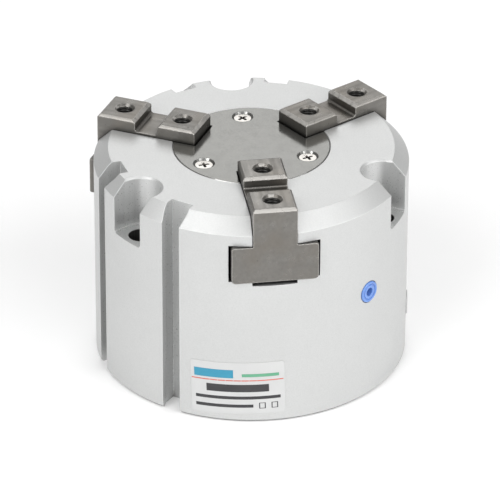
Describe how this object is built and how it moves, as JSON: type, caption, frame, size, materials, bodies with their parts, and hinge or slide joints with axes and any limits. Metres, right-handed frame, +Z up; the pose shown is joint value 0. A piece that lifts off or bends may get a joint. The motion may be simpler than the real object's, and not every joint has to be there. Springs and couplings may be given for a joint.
{
  "type": "pneumatic gripper",
  "caption": "Round-bodied parallel pneumatic gripper whose jaws slide radially in T slots, driven in step by a piston and wedge cam, with sensor grooves and screw notches.",
  "frame": {"origin": "centre of the mounting face at the body's lower end", "axes": "+Z up towards the workpiece along the body's axis, -Y towards the front jaw, +X to the right seen from the front"},
  "size_m": [0.0863, 0.0861, 0.066],
  "materials": {
    "anodised_aluminium": "matte silver-white anodised, fine bead-blasted grain",
    "plate_steel": "matte grey, ground",
    "screw_steel": "bright nickel plated",
    "jaw_steel": "grey-brown hardened steel, ground faces",
    "cam_steel": "dark hardened steel, polished ribs",
    "black_steel": "black oxide",
    "rod_steel": "hard-chromed, polished",
    "turned_aluminium": "clear anodised, fine turning marks",
    "seal_rubber": "matt black nitrile rubber",
    "bumper_rubber": "matt urethane",
    "magnet": "dull dark rubber-bonded magnet",
    "bush_bronze": "dull sintered bronze",
    "spring_steel": "phosphated",
    "plug_steel": "dull nickel plated",
    "blue_plastic": "glossy blue polyethylene",
    "label_film": "satin white printed film"
  },
  "bodies": {
    "housing": {"body": "anodised_aluminium", "end_plate": "plate_steel", "end_plate_screws": "screw_steel", "rod_bush": "bush_bronze", "rod_seal": "seal_rubber", "seal_retainer": "spring_steel", "end_cap": "turned_aluminium", "end_cap_oring": "seal_rubber", "retaining_ring": "spring_steel", "closing_port_plug": "blue_plastic", "opening_port_plug": "plug_steel", "label": "label_film"},
    "piston_and_cam": {"piston": "turned_aluminium", "piston_seal": "seal_rubber", "magnet_ring": "magnet", "opening_bumper": "bumper_rubber", "closing_bumper": "bumper_rubber", "piston_rod": "rod_steel", "rod_oring": "seal_rubber", "wedge_cam": "cam_steel", "cam_bolt": "black_steel"},
    "front_jaw": {"front_jaw": "jaw_steel"},
    "right_jaw": {"right_jaw": "jaw_steel"},
    "left_jaw": {"left_jaw": "jaw_steel"}
  },
  "joints": [
    {"name": "piston_slide", "type": "slide", "parent": "housing", "child": "piston_and_cam", "axis": [0, 0, 1], "range_m": [0, 0.008]},
    {"name": "front_jaw_slide", "type": "slide", "parent": "housing", "child": "front_jaw", "axis": [0, -1, 0], "range_m": [0, 0.008]},
    {"name": "right_jaw_slide", "type": "slide", "parent": "housing", "child": "right_jaw", "axis": [0.866, 0.5, 0], "range_m": [0, 0.008]},
    {"name": "left_jaw_slide", "type": "slide", "parent": "housing", "child": "left_jaw", "axis": [-0.866, 0.5, 0], "range_m": [0, 0.008]}
  ],
  "couplings": [
    {"joint": "front_jaw_slide", "follows": "piston_slide", "ratio": 1},
    {"joint": "right_jaw_slide", "follows": "piston_slide", "ratio": 1},
    {"joint": "left_jaw_slide", "follows": "piston_slide", "ratio": 1}
  ]
}
